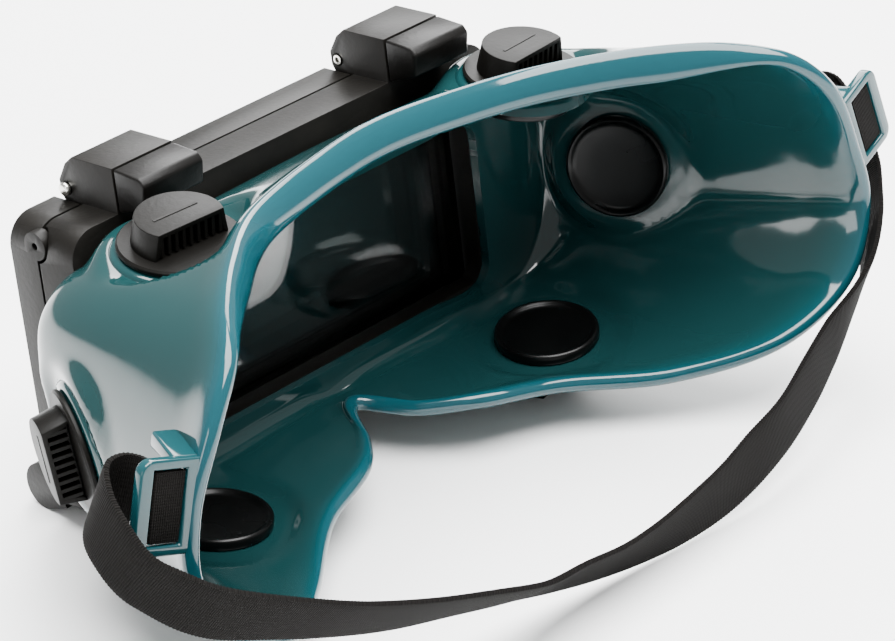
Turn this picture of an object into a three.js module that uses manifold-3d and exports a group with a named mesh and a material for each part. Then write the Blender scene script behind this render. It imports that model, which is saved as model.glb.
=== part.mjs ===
// Lift-front welding goggles: a soft moulded mask with strap loops, six vents, a fixed lens
// housing and a flip-up shade frame on two sprung hinges.
//
// Millimetres. +X is the wearer's left, +Y runs from the lenses to the face and +Z is up. Everything but
// the strap is laid out square to the lenses and then leaned forward, the way the goggles rest on a
// table: on the lower front edge of the flip frame and the hoods of the two bottom vents.
// Pieces are laid out from the centre of the cover lens's front face, and the part's own origin is the
// centre of the lens housing's flat underside.
import * as THREE from 'three';
import { mergeVertices } from 'three/addons/utils/BufferGeometryUtils.js';
import Module from 'manifold-3d';

const wasm = await Module();
wasm.setup();

// ---------------------------------------------------------------- driving dimensions
const REST_LEAN = THREE.MathUtils.degToRad(7.5);
const GAP = 0.35; // clearance between neighbouring pieces

const LENS = { width: 108, height: 51, corner: 2 }; // the standard 2 x 4 1/4 inch plate
const LENS_POCKET = { width: LENS.width + 0.8, height: LENS.height + 0.8, corner: 2.2 };

const HOUSING = { halfWidth: 59, top: 34, bottom: -31, corner: 6 };
const FLIP = { front: -1.4, back: 6.3, windowWidth: 98, windowHeight: 38, windowCorner: 6 };
const FIXED = { front: 6.9, back: 17.1, windowWidth: 101.6, windowHeight: 38.1, windowCorner: 3 };
const COVER_LENS = { front: 0, back: 1.2 };
const SHADE_LENS = { front: COVER_LENS.back + GAP, back: COVER_LENS.back + GAP + 2.2 };
const FLIP_CLIP = { front: SHADE_LENS.back + GAP, back: 5.9, rim: 3 };
const FIXED_CLIP = { front: 7.3, back: 8.9, rim: 3 };
const CLEAR_LENS = { front: 9.25, back: 10.85 };
const GASKET = { front: 11.2, back: 12.2, rim: 2.6 };
const POCKET_FLOOR = 12.55; // the ledge in the housing that the gasket sits on

const PIN = { y: 2.7, z: 36.5, radius: 1.1, headRadius: 1.45, headHeight: 1, boreRadius: 0.55 };
const HINGE = { x: 38, halfWidth: 8, top: 43.6, knuckleHalfWidth: 4, barrelRadius: 2.35 };
const HINGE_SLOT_HALF_WIDTH = HINGE.knuckleHalfWidth + GAP;
const CAP_FRONT = FIXED.back + GAP;
const PLUNGER = { front: 5.4, shoulder: 8.4, back: 14, radius: 1.9, stemRadius: 1 };
const SPRING = { radius: 1.75, wire: 0.32, turns: 4, front: 9.05, back: 16.7, stepsPerTurn: 10, sides: 5 };
const SPRING_BORE_RADIUS = 2.5;
const EAR = { y: 6.2, z: 29.8, radius: 3, inner: 56.4, hole: 0.8 };
const FINGER_TAB = { x: [45, 57], y: -6.6, z: -27.5, radius: 5.1 };

const WALL = 2.2; // mask wall
const BEAD = 3.4; // thickness of the mask's rolled edge
const BROW_LIP = 4.2; // how much deeper that edge is where it rests on the brow
const PANEL_Y = FIXED.back + GAP + WALL / 2; // mid-surface of the mask's flat front panel
const PANEL_MARGIN = 8; // flat of the panel stops this far inside the shoulder
const PAD_RADIUS = 13.4; // flat pad moulded in the wall under each vent
const PAD_REACH = 19; // where the pad has faded back into the wall

const VENT = {
  flangeRadius: 12.4, flangeThickness: 1.2, hoodRadius: 9.6, hoodHeight: 5.4, hoodWall: 1.3,
  louvreOffset: 3.8, louvres: 8, louvrePitch: 1.75, neckRadius: 8.6, neckWall: 1.1, holeRadius: 8.9,
  bossRadius: 13.2, bossRise: 1.9,
  baffleRadius: 11.2, baffleThickness: 1.3, baffleRim: 0.9,
};

const TAB = { width: 13, height: 18, thickness: 2.4, slotWidth: 7.4, slotHeight: 14.2, bar: 2.8 };
const STRAP = { width: 13.4, thickness: 1.3, stepsPerStation: 2 };
const STRAP_END = { width: 6.6, thickness: 2.2 };

// ---------------------------------------------------------------- solids
function solid(geometry) {
  const bare = geometry.clone();
  bare.deleteAttribute('normal');
  bare.deleteAttribute('uv');
  const merged = mergeVertices(bare, 1e-4);
  return new wasm.Manifold(new wasm.Mesh({
    numProp: 3,
    vertProperties: new Float32Array(merged.attributes.position.array),
    triVerts: new Uint32Array(merged.index.array),
  }));
}

function surface(body) {
  const mesh = body.getMesh();
  const geometry = new THREE.BufferGeometry();
  geometry.setAttribute('position', new THREE.BufferAttribute(mesh.vertProperties, 3));
  geometry.setIndex(new THREE.BufferAttribute(mesh.triVerts, 1));
  return geometry;
}

function combine(base, { add = [], cut = [] }) {
  let body = solid(base);
  for (const piece of add) body = body.add(solid(piece));
  for (const piece of cut) body = body.subtract(solid(piece));
  return surface(body);
}

function box([x0, x1], [y0, y1], [z0, z1]) {
  const geometry = new THREE.BoxGeometry(x1 - x0, y1 - y0, z1 - z0);
  return geometry.translate((x0 + x1) / 2, (y0 + y1) / 2, (z0 + z1) / 2);
}

// A cylinder from one point to another.
function rod(from, to, radius, sides = 20, endRadius = radius) {
  const axis = to.clone().sub(from);
  const geometry = new THREE.CylinderGeometry(endRadius, radius, axis.length(), sides);
  geometry.translate(0, axis.length() / 2, 0);
  const turn = new THREE.Quaternion().setFromUnitVectors(new THREE.Vector3(0, 1, 0), axis.normalize());
  return geometry.applyQuaternion(turn).translate(from.x, from.y, from.z);
}

const point = (x, y, z) => new THREE.Vector3(x, y, z);

const rodAlongX = ([x0, x1], y, z, radius, sides, endRadius) => (
  rod(point(x0, y, z), point(x1, y, z), radius, sides, endRadius)
);

const rodAlongY = ([y0, y1], x, z, radius, sides) => rod(point(x, y0, z), point(x, y1, z), radius, sides);

const polygon = (corners) => new THREE.Shape(corners.map(([a, b]) => new THREE.Vector2(a, b)));

function roundedRectangle(width, height, corner, centreZ = 0) {
  const [w, h] = [width / 2 - corner, height / 2 - corner];
  const outline = new THREE.Shape();
  outline.absarc(w, centreZ + h, corner, 0, Math.PI / 2);
  outline.absarc(-w, centreZ + h, corner, Math.PI / 2, Math.PI);
  outline.absarc(-w, centreZ - h, corner, Math.PI, 1.5 * Math.PI);
  outline.absarc(w, centreZ - h, corner, 1.5 * Math.PI, 2 * Math.PI);
  return outline;
}

// Extrudes an outline drawn in X and Z from y0 to y1.
function plateXZ(outline, y0, y1, curveSegments = 5) {
  const geometry = new THREE.ExtrudeGeometry(outline, { depth: y1 - y0, bevelEnabled: false, curveSegments });
  return geometry.rotateX(Math.PI / 2).translate(0, y1, 0);
}

// Extrudes an outline drawn in Y and Z from x0 to x1.
function profileYZ(outline, x0, x1, curveSegments = 5) {
  const geometry = new THREE.ExtrudeGeometry(outline, { depth: x1 - x0, bevelEnabled: false, curveSegments });
  const axes = new THREE.Matrix4().makeBasis(point(0, 1, 0), point(0, 0, 1), point(1, 0, 0));
  return geometry.applyMatrix4(axes).translate(x0, 0, 0);
}

// Skins a list of rings of points. Rings run the same way round; the last ring joins the first when
// joined is true, and otherwise both ends are closed flat.
function loft(rings, joined = false) {
  const count = rings[0].length;
  const positions = rings.flat().flatMap((p) => [p.x, p.y, p.z]);
  const index = [];
  const last = joined ? rings.length : rings.length - 1;
  for (let r = 0; r < last; r += 1) {
    const next = (r + 1) % rings.length;
    for (let i = 0; i < count; i += 1) {
      const j = (i + 1) % count;
      const [a, b, c, d] = [r * count + i, r * count + j, next * count + i, next * count + j];
      index.push(a, b, d, a, d, c);
    }
  }
  if (!joined) {
    const end = (rings.length - 1) * count;
    for (let i = 1; i < count - 1; i += 1) {
      index.push(0, i + 1, i);
      index.push(end, end + i, end + i + 1);
    }
  }
  const geometry = new THREE.BufferGeometry();
  geometry.setAttribute('position', new THREE.Float32BufferAttribute(positions, 3));
  geometry.setIndex(index);
  return geometry;
}

// Carries a closed section of (right, up) points along frames, where right x up points forward.
function sweep(frames, section) {
  return loft(frames.map(({ at, right, up }) => section.map(([a, b]) => (
    at.clone().addScaledVector(right, a).addScaledVector(up, b)
  ))));
}

// ---------------------------------------------------------------- materials and the scene graph
const object = new THREE.Group();
const goggles = new THREE.Group();
goggles.rotation.x = REST_LEAN;
object.add(goggles);
const origin = point(0, (FIXED.front + FIXED.back) / 2, HOUSING.bottom);
object.position.copy(origin.applyAxisAngle(point(1, 0, 0), REST_LEAN).negate());

const finish = (color, roughness, metalness = 0) => () => (
  new THREE.MeshStandardMaterial({ color, roughness, metalness })
);
const TEAL = finish('#0c5a60', 0.25);
const BLACK = finish('#232220', 0.5);
const VENT_BLACK = finish('#191817', 0.6);
const SHADE_GLASS = finish('#0d1512', 0.08);
const CLEAR_GLASS = finish('#c8d4d2', 0.05);
const RUBBER = finish('#161616', 0.85);
const STEEL = finish('#c9c6bd', 0.25, 1);
const SPRING_STEEL = finish('#8c8c8a', 0.35, 1);
const WEBBING = finish('#2b2826', 0.95);

function add(name, geometry, makeMaterial, parent = goggles) {
  const mesh = new THREE.Mesh(geometry, makeMaterial());
  mesh.name = name;
  parent.add(mesh);
  return mesh;
}

const SIDES = [['left', 1], ['right', -1]];

// An X range given on the wearer's left, carried to either side in rising order.
const onSide = (side, [x0, x1]) => (side > 0 ? [x0, x1] : [-x1, -x0]);

// ---------------------------------------------------------------- mask surface
// Stations run round half of the mask, from the brow's centre to the nose. Each gives the window's edge
// and the panel's shoulder as (x, z), and the face edge as (x, y, z).
const STATIONS = [
  { window: [0, 19], shoulder: [0, 31], edge: [0, 43.5, 40.6] },
  { window: [18, 19], shoulder: [20, 31], edge: [20, 45.5, 39.8] },
  { window: [36, 19], shoulder: [41, 31], edge: [41, 51.3, 38.9] },
  { window: [47.5, 19], shoulder: [57, 31], edge: [58.3, 63.8, 38.9] },
  { window: [50.4, 16], shoulder: [68, 29.5], edge: [71, 75.1, 37.4] },
  { window: [50.8, 11], shoulder: [74.5, 24], edge: [79.6, 83.4, 33.6] },
  { window: [50.8, 6], shoulder: [76.6, 15], edge: [88, 86.2, 24.5] },
  { window: [50.8, 1], shoulder: [77, 5], edge: [95, 85.3, 9.5] },
  { window: [50.8, -5], shoulder: [76.5, -6], edge: [97, 85.8, -3.5] },
  { window: [50.8, -11], shoulder: [73, -17], edge: [89, 86.6, -17.5] },
  { window: [50.4, -16], shoulder: [65, -25.5], edge: [72, 82, -26.6] },
  { window: [47.5, -19], shoulder: [50, -28.6], edge: [53.3, 67.5, -30.6] },
  { window: [32, -19], shoulder: [33, -28.6], edge: [33.9, 52.6, -28.4] },
  { window: [18, -19], shoulder: [19, -28], edge: [17.2, 46.4, -26.2] },
  { window: [8, -19], shoulder: [9, -27.3], edge: [8, 37.5, -26.4] },
  { window: [0, -19], shoulder: [0, -27], edge: [0, 26.3, -24.8] },
];
const RING_COUNT = 48;

function loopThrough(toPoint) {
  const half = STATIONS.map(toPoint);
  const mirrored = half.slice(1, -1).reverse().map((p) => point(-p.x, p.y, p.z));
  return new THREE.CatmullRomCurve3([...half, ...mirrored], true, 'centripetal');
}

const windowLoop = loopThrough(({ window: [x, z] }) => point(x, PANEL_Y, z));
const shoulderLoop = loopThrough(({ shoulder: [x, z] }) => point(x, PANEL_Y, z));
const edgeLoop = loopThrough(({ edge: [x, y, z] }) => point(x, y, z));
const STATION_COUNT = (STATIONS.length - 1) * 2;

// The wall at loop position u, in stations: a cubic from the flat of the panel, round its shoulder, to
// the face edge.
function wallCurve(u) {
  const t = (u / STATION_COUNT + 1) % 1;
  const shoulder = shoulderLoop.getPoint(t);
  const inward = windowLoop.getPoint(t).sub(shoulder);
  const flatEnd = shoulder.clone().addScaledVector(inward, Math.min(0.8, PANEL_MARGIN / inward.length()));
  const edge = edgeLoop.getPoint(t);
  const approach = point(
    THREE.MathUtils.lerp(shoulder.x, edge.x, 0.2),
    THREE.MathUtils.lerp(shoulder.y, edge.y, 0.45),
    THREE.MathUtils.lerp(shoulder.z, edge.z, 0.2),
  );
  return new THREE.CubicBezierCurve3(flatEnd, shoulder, approach, edge);
}

// Where each left-hand vent sits on the mask, and which way it faces.
const VENT_SITES = [
  { row: 'top', centre: point(48.6, 37.3, 31.2), facing: point(0.03, 0.16, 0.986) },
  { row: 'side', centre: point(77, 36.2, 2.2), facing: point(0.924, -0.446, -0.096) },
  { row: 'bottom', centre: point(49, 36.3, -28.7), facing: point(0.088, -0.115, -0.989) },
];
const VENT_PADS = VENT_SITES.flatMap(({ centre, facing }) => SIDES.map(([, side]) => ({
  centre: point(side * centre.x, centre.y, centre.z),
  facing: point(side * facing.x, facing.y, facing.z).normalize(),
})));

// How far a point of the wall moves to lie in the flat pad under the nearest vent.
function padShift(at) {
  const shift = point(0, 0, 0);
  for (const { centre, facing } of VENT_PADS) {
    const offset = at.clone().sub(centre);
    const height = offset.dot(facing);
    const radius = Math.sqrt(Math.max(0, offset.lengthSq() - height * height));
    if (Math.abs(height) > PAD_REACH) continue;
    const fade = THREE.MathUtils.smoothstep(radius, PAD_RADIUS, PAD_REACH);
    shift.addScaledVector(facing, -height * (1 - fade));
  }
  return shift;
}

// Position and outward normal of the wall's mid-surface at loop position u and wall position v (0 to 1).
function wallFrame(u, v) {
  const curve = wallCurve(u);
  const along = curve.getTangent(Math.min(v, 0.999)).normalize();
  const step = 0.05;
  const around = wallCurve(u + step).getPoint(v).sub(wallCurve(u - step).getPoint(v)).normalize();
  const normal = around.clone().cross(along).normalize();
  return { at: curve.getPoint(v), along, normal };
}

const WALL_POSITIONS = [0, 0.1, 0.2, 0.3, 0.4, 0.5, 0.6, 0.7, 0.8, 0.9, 1];

// Extra depth of the rolled edge where it rests on the brow.
function browLip(u) {
  const fromBrow = Math.min(u, STATION_COUNT - u);
  return BROW_LIP * (1 - THREE.MathUtils.smoothstep(fromBrow, 3, 5));
}

// One closed section of the mask's skin: window edge, outer face, rolled edge, inner face.
function maskSection(u) {
  const lip = browLip(u);
  const front = windowLoop.getPoint((u / STATION_COUNT + 1) % 1);
  const outer = [];
  const inner = [];
  for (const v of WALL_POSITIONS) {
    const { at, normal } = wallFrame(u, v);
    const half = (v > 0.9 ? BEAD : WALL) / 2;
    at.add(padShift(at));
    outer.push(at.clone().addScaledVector(normal, half));
    inner.push(at.clone().addScaledVector(normal, -half - (v > 0.9 ? lip : 0)));
  }
  const { at, along, normal } = wallFrame(u, 1);
  const roll = [0.75, 0, -0.75].map((side) => at.clone()
    .addScaledVector(along, Math.sqrt(1 - side * side) * BEAD / 2)
    .addScaledVector(normal, (side * (BEAD + lip) - lip) / 2));
  return [
    front.clone().add(point(0, -WALL / 2, 0)), ...outer, ...roll, ...inner.reverse(),
    front.clone().add(point(0, WALL / 2, 0)),
  ];
}

function maskSkin() {
  const rings = [];
  for (let i = 0; i < RING_COUNT; i += 1) rings.push(maskSection((i * STATION_COUNT) / RING_COUNT));
  return loft(rings.reverse(), true);
}

// ---------------------------------------------------------------- vents
// The vent's own frame: +Z out of the mask, +Y back towards the face, where the louvres look.
function ventMatrix({ centre, facing }, side) {
  const back = point(0.1, 1, 0);
  const normal = facing.clone().normalize();
  const at = centre.clone();
  if (side < 0) {
    for (const vector of [at, normal, back]) vector.x *= -1;
  }
  back.addScaledVector(normal, -back.dot(normal)).normalize();
  return new THREE.Matrix4().makeBasis(back.clone().cross(normal), back, normal).setPosition(at);
}

function forEachVent(visit) {
  for (const site of VENT_SITES) {
    for (const [name, side] of SIDES) visit(`${site.row}_${name}`, ventMatrix(site, side));
  }
}

const disc = (radius, z0, z1, sides = 18) => rod(point(0, 0, z0), point(0, 0, z1), radius, sides);
const INNER_SEAT = -WALL / 2;

function ventHood() {
  const seat = VENT.bossRise + GAP;
  const flangeTop = seat + VENT.flangeThickness;
  const top = flangeTop + VENT.hoodHeight;
  const louvreFace = VENT.louvreOffset;
  const cone = rod(point(0, 0, seat), point(0, 0, top), VENT.hoodRadius, 20, VENT.hoodRadius - 0.9);
  const hood = combine(cone, { cut: [box([-20, 20], [louvreFace, 20], [flangeTop, top + 1])] });
  const hollowRadius = VENT.hoodRadius - VENT.hoodWall - 0.9;
  const hollow = combine(disc(hollowRadius, seat - 1, top - VENT.hoodWall, 14), {
    cut: [box([-20, 20], [louvreFace - VENT.hoodWall, 20], [flangeTop, top])],
  });
  const louvres = [];
  for (let i = 0; i < VENT.louvres; i += 1) {
    const x = (i - (VENT.louvres - 1) / 2) * VENT.louvrePitch;
    louvres.push(box([x - 0.5, x + 0.5], [louvreFace - 3, louvreFace + 1], [flangeTop + 0.8, top - 1.8]));
  }
  const groove = box([-5, 5], [-0.6, 0], [top - 0.4, top + 1]);
  const bore = disc(VENT.neckRadius - VENT.neckWall, INNER_SEAT - 1, flangeTop, 14);
  return combine(disc(VENT.flangeRadius, seat, flangeTop), {
    add: [hood, disc(VENT.neckRadius, INNER_SEAT, seat + 0.5)],
    cut: [bore, hollow, groove, ...louvres],
  });
}

function ventBaffle() {
  const seat = INNER_SEAT - GAP;
  const face = seat - VENT.baffleThickness;
  const plug = VENT.neckRadius - VENT.neckWall - GAP;
  return combine(disc(VENT.baffleRadius, face - VENT.baffleRim, seat), {
    add: [disc(plug, seat - 0.3, seat + 3, 14)],
    cut: [
      disc(VENT.baffleRadius - 1.4, face - VENT.baffleRim - 1, face),
      disc(plug - 1.2, seat - 0.2, seat + 4, 12),
    ],
  });
}

// ---------------------------------------------------------------- mask body
const TAB_ACROSS = point(0.945, -0.12, 0.3).normalize();
const TAB_CENTRE = point(100.3, 84.6, 13.8);

function tabMatrix(side) {
  const across = TAB_ACROSS.clone();
  const up = point(-0.345, 0.03, 0.938);
  up.addScaledVector(across, -up.dot(across)).normalize();
  const back = up.clone().cross(across);
  const centre = TAB_CENTRE.clone();
  if (side < 0) {
    for (const vector of [across, up, back, centre]) vector.x *= -1;
    across.negate();
  }
  return new THREE.Matrix4().makeBasis(across, back, up).setPosition(centre);
}

// In the tab's frame +X is along the loop's width, +Y towards the face and +Z up the slot. side is the
// loop's outward direction along X.
function tabLoop(side) {
  const inward = -side;
  const root = inward * (TAB.width / 2 + 3);
  const outer = side * TAB.width / 2;
  const frame = box([Math.min(root, outer), Math.max(root, outer)], [-TAB.thickness / 2, TAB.thickness / 2],
    [-TAB.height / 2, TAB.height / 2]);
  return frame.applyMatrix4(tabMatrix(side));
}

function tabSlot(side) {
  const outer = side * (TAB.width / 2 - TAB.bar);
  const inner = outer - side * TAB.slotWidth;
  const slot = box([Math.min(outer, inner), Math.max(outer, inner)], [-6, 6],
    [-TAB.slotHeight / 2, TAB.slotHeight / 2]);
  return slot.applyMatrix4(tabMatrix(side));
}

function maskBody() {
  const bosses = [];
  const cuts = [];
  forEachVent((_, matrix) => {
    bosses.push(disc(VENT.bossRadius, -0.5, VENT.bossRise).applyMatrix4(matrix));
    cuts.push(disc(VENT.holeRadius, -10, 10).applyMatrix4(matrix));
    cuts.push(disc(VENT.flangeRadius + GAP, VENT.bossRise, 10).applyMatrix4(matrix));
    cuts.push(disc(VENT.baffleRadius + GAP, -10, INNER_SEAT).applyMatrix4(matrix));
  });
  const tabs = SIDES.map(([, side]) => tabLoop(side));
  const slots = SIDES.map(([, side]) => tabSlot(side));
  return combine(maskSkin(), { add: [...bosses, ...tabs], cut: [...cuts, ...slots] });
}

// ---------------------------------------------------------------- lens housing and flip frame
const HOUSING_CENTRE_Z = (HOUSING.top + HOUSING.bottom) / 2;
const housingOutline = () => roundedRectangle(
  HOUSING.halfWidth * 2,
  HOUSING.top - HOUSING.bottom,
  HOUSING.corner,
  HOUSING_CENTRE_Z,
);
const lensPocket = (y0, y1) => (
  plateXZ(roundedRectangle(LENS_POCKET.width, LENS_POCKET.height, LENS_POCKET.corner), y0, y1, 3)
);
const windowHole = ({ windowWidth, windowHeight, windowCorner }, y0, y1) => (
  plateXZ(roundedRectangle(windowWidth, windowHeight, windowCorner), y0, y1)
);

// The hinge tower: a nose over the pin, a slope up and a flat top running back to the cap.
const TOWER_PROFILE = [
  [3.1, 32.2], [6.9, 33], [17.1, 33], [17.1, HINGE.top], [5.3, HINGE.top], [3, 41.8], [0.6, 38], [0.7, 35.1],
  [1.7, 33.3],
];

function lensHousing() {
  const towers = [];
  const cuts = [
    lensPocket(FIXED.front - 1, POCKET_FLOOR),
    windowHole(FIXED, FIXED.front - 1, FIXED.back + 1),
  ];
  for (const [, side] of SIDES) {
    const x = side * HINGE.x;
    towers.push(profileYZ(polygon(TOWER_PROFILE), x - HINGE.halfWidth, x + HINGE.halfWidth));
    cuts.push(
      box([x - HINGE_SLOT_HALF_WIDTH, x + HINGE_SLOT_HALF_WIDTH], [-5, PLUNGER.front], [30, 39.3]),
      rodAlongY([PLUNGER.front - 1, FIXED.back + 1], x, PIN.z, SPRING_BORE_RADIUS),
      rodAlongX([x - 9, x + 9], PIN.y, PIN.z, PIN.radius + 0.3, 16),
      rodAlongX(onSide(side, [EAR.inner - 0.4, 60]), EAR.y, EAR.z, EAR.radius + 0.6),
    );
  }
  return combine(plateXZ(housingOutline(), FIXED.front, FIXED.back), { add: towers, cut: cuts });
}

function knuckle(x) {
  const ends = [x - HINGE.knuckleHalfWidth, x + HINGE.knuckleHalfWidth];
  const arm = box(ends, [PIN.y - 1.8, PIN.y + 1.8], [31, PIN.z]);
  return combine(rodAlongX(ends, PIN.y, PIN.z, HINGE.barrelRadius), { add: [arm] });
}

function fingerTab() {
  const { y, z, radius } = FINGER_TAB;
  const outline = new THREE.Shape();
  outline.moveTo(0, -19.5);
  outline.absarc(y, z, radius, 0.4 * Math.PI, 1.58 * Math.PI);
  outline.lineTo(0, HOUSING.bottom + 0.3);
  return profileYZ(outline, ...FINGER_TAB.x, 14);
}

function flipFrame() {
  const recesses = [
    lensPocket(FLIP.front + 1.05, FLIP.back + 1),
    windowHole(FLIP, FLIP.front - 1, FLIP.back),
  ];
  const fittings = [fingerTab()];
  const holes = [];
  for (const [, side] of SIDES) {
    const x = side * HINGE.x;
    const reach = HINGE.halfWidth + GAP;
    recesses.push(box([x - reach, x + reach], [FLIP.front - 1, FLIP.back + 1], [31.8, HOUSING.top + 1]));
    const earEnds = onSide(side, [EAR.inner, HOUSING.halfWidth]);
    fittings.push(knuckle(x), rodAlongX(earEnds, EAR.y, EAR.z, EAR.radius));
    holes.push(
      rodAlongX([x - 9, x + 9], PIN.y, PIN.z, PIN.radius + 0.3, 16),
      rodAlongX(onSide(side, [EAR.inner, 60]), EAR.y, EAR.z, EAR.hole, 12),
    );
  }
  const frame = combine(plateXZ(housingOutline(), FLIP.front, FLIP.back), { cut: recesses });
  return combine(frame, { add: fittings, cut: holes });
}

// ---------------------------------------------------------------- lenses and the rings that hold them
const lensPlate = ({ front, back }) => (
  plateXZ(roundedRectangle(LENS.width, LENS.height, LENS.corner), front, back, 3)
);

function lensRing({ front, back, rim }) {
  const opening = roundedRectangle(LENS.width - 2 * rim, LENS.height - 2 * rim, LENS.corner);
  return combine(lensPlate({ front, back }), { cut: [plateXZ(opening, front - 1, back + 1, 3)] });
}

// ---------------------------------------------------------------- hinges
const CAP_PROFILE = [[CAP_FRONT, 34.2], [25.2, 36.6], [26, 41.5], [24.8, 42.9], [CAP_FRONT, 43.5]];

function hingeCap(x) {
  return profileYZ(polygon(CAP_PROFILE), x - HINGE.halfWidth, x + HINGE.halfWidth);
}

// A pin along X with a domed head at its outer end and a hollow inner end.
function hingePin(side) {
  const inner = HINGE.x - HINGE.halfWidth - 0.3;
  const outer = HINGE.x + HINGE.halfWidth + GAP;
  const along = (from, to, radius, endRadius) => (
    rod(point(side * from, PIN.y, PIN.z), point(side * to, PIN.y, PIN.z), radius, 12, endRadius)
  );
  return combine(along(inner, outer + 0.2, PIN.radius), {
    add: [
      along(outer, outer + PIN.headHeight / 2, PIN.headRadius),
      along(outer + PIN.headHeight / 2, outer + PIN.headHeight, PIN.headRadius, PIN.headRadius / 2),
    ],
    cut: [along(inner - 1, inner + 2, PIN.boreRadius)],
  });
}

function detentPlunger(x) {
  return combine(rodAlongY([PLUNGER.front, PLUNGER.shoulder], x, PIN.z, PLUNGER.radius), {
    add: [rodAlongY([PLUNGER.front + 1, PLUNGER.back], x, PIN.z, PLUNGER.stemRadius, 12)],
  });
}

function hingeSpring(x) {
  const frames = [];
  const steps = SPRING.turns * SPRING.stepsPerTurn;
  const advance = (SPRING.back - SPRING.front) / steps;
  for (let i = 0; i <= steps; i += 1) {
    const turn = (i / SPRING.stepsPerTurn) * 2 * Math.PI;
    const right = point(Math.cos(turn), 0, Math.sin(turn));
    const forward = point(-Math.sin(turn), 0, Math.cos(turn));
    const at = point(x, SPRING.front + i * advance, PIN.z).addScaledVector(right, SPRING.radius);
    frames.push({ at, right, up: forward.cross(right) });
  }
  const section = [];
  for (let i = 0; i < SPRING.sides; i += 1) {
    const angle = (i / SPRING.sides) * 2 * Math.PI;
    section.push([Math.cos(angle) * SPRING.wire, Math.sin(angle) * SPRING.wire]);
  }
  return sweep(frames, section);
}

// ---------------------------------------------------------------- strap
// The strap's lower edge from the left loop round behind to the right loop, as it lies at rest, then the
// direction across the webbing from that edge.
const STRAP_ROUTE = [
  [102.4, 79.2, 18.3, -0.35, -0.08, 1], [103, 74, 18.8, -0.35, 0, 1], [104.6, 71, 19.2, -0.3, 0.1, 1],
  [107.4, 69.8, 19, -0.25, 0.2, 1], [110.4, 72, 17.4, -0.2, 0.4, 1], [112, 76.8, 14.8, -0.17, 0.6, 1],
  [111.6, 81.6, 11.3, -0.15, 0.72, 1], [109, 85.6, 8, -0.25, 0.72, 1], [105, 89.2, 4.2, -0.3, 0.65, 1],
  [100, 91.6, 1, -0.3, 0.6, 1], [88, 94.5, -4, -0.2, 0.7, 1], [76, 97, -8.5, -0.2, 0.85, 1],
  [62, 98.5, -13.5, -0.3, 1, 1], [45, 98.5, -19, -0.35, 1.2, 1], [30, 98, -24, -0.3, 1.3, 1],
  [17, 98.4, -28, -0.2, 0.9, 1], [5, 99.6, -30.6, -0.1, 0.7, 1], [-7, 101.2, -32, 0, 0.45, 1],
  [-19, 102.8, -32.2, 0, 0.2, 1], [-31, 103.6, -31.2, 0.15, 0.05, 1], [-42, 103.4, -29, 0.2, -0.05, 1],
  [-54, 101.5, -26.5, 0.25, 0, 1], [-66, 98.5, -23, 0.3, 0, 1], [-77, 94.8, -19.3, 0.35, 0.1, 1],
  [-85.5, 92, -13.5, 0.4, 0.4, 1], [-93.9, 88.4, -8, 0.5, 0.65, 1], [-100.2, 82.6, -4, 0.3, 0.75, 1],
  [-103.5, 77.5, -1.5, 0.1, 0.85, 1], [-106.5, 73.5, 3, 0.07, 0.95, 1], [-108.5, 69.5, 8, 0.12, 0.95, 1],
  [-109, 66.5, 13, 0.17, 0.75, 1], [-107.5, 66, 17, 0.2, 0.45, 1], [-105, 68.5, 18.7, 0.3, 0.15, 1],
  [-103, 73.5, 18.8, 0.35, 0, 1], [-102.4, 79.2, 18.3, 0.35, -0.08, 1],
];

function strap() {
  const across = STRAP_ROUTE.map((row) => point(...row.slice(3)).normalize());
  const halfWidth = STRAP.width / 2;
  const centres = STRAP_ROUTE.map(([x, y, z], i) => point(x, y, z).addScaledVector(across[i], halfWidth));
  const path = new THREE.CatmullRomCurve3(centres, false, 'centripetal');
  const twist = new THREE.CatmullRomCurve3(across);
  const frames = [];
  const steps = (STRAP_ROUTE.length - 1) * STRAP.stepsPerStation;
  for (let i = 0; i <= steps; i += 1) {
    const up = twist.getPoint(i / steps).normalize();
    const right = up.clone().cross(path.getTangent(i / steps)).normalize();
    frames.push({ at: path.getPoint(i / steps), right, up });
  }
  const [a, b] = [STRAP.thickness / 2, STRAP.width / 2];
  return sweep(frames, [[-a, -b], [a, -b], [a, b], [-a, b]]);
}

// The folded, stitched end of the strap that fills a loop's slot.
function strapEnd(side) {
  const centre = side * (TAB.width / 2 - TAB.bar - TAB.slotWidth / 2);
  const pad = box(
    [centre - STRAP_END.width / 2, centre + STRAP_END.width / 2],
    [-STRAP_END.thickness / 2, STRAP_END.thickness / 2],
    [-STRAP.width / 2, STRAP.width / 2],
  );
  return pad.applyMatrix4(tabMatrix(side));
}

// ---------------------------------------------------------------- assembly
add('goggle_body', maskBody(), TEAL);
forEachVent((name, matrix) => {
  add(`vent_hood_${name}`, ventHood().applyMatrix4(matrix), VENT_BLACK);
  add(`vent_baffle_${name}`, ventBaffle().applyMatrix4(matrix), VENT_BLACK);
});
add('lens_housing', lensHousing(), BLACK);
add('clear_lens_clip', lensRing(FIXED_CLIP), BLACK);
add('clear_lens', lensPlate(CLEAR_LENS), CLEAR_GLASS);
add('lens_gasket', lensRing(GASKET), RUBBER);
add('flip_frame', flipFrame(), BLACK);
add('cover_lens', lensPlate(COVER_LENS), CLEAR_GLASS);
add('shade_lens', lensPlate(SHADE_LENS), SHADE_GLASS);
add('shade_lens_clip', lensRing(FLIP_CLIP), BLACK);
for (const [name, side] of SIDES) {
  const x = side * HINGE.x;
  add(`hinge_cap_${name}`, hingeCap(x), BLACK);
  add(`hinge_pin_${name}`, hingePin(side), STEEL);
  add(`detent_plunger_${name}`, detentPlunger(x), STEEL);
  add(`hinge_spring_${name}`, hingeSpring(x), SPRING_STEEL);
  add(`strap_end_${name}`, strapEnd(side), WEBBING);
}
add('strap', strap(), WEBBING, object);

export default object;
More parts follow.
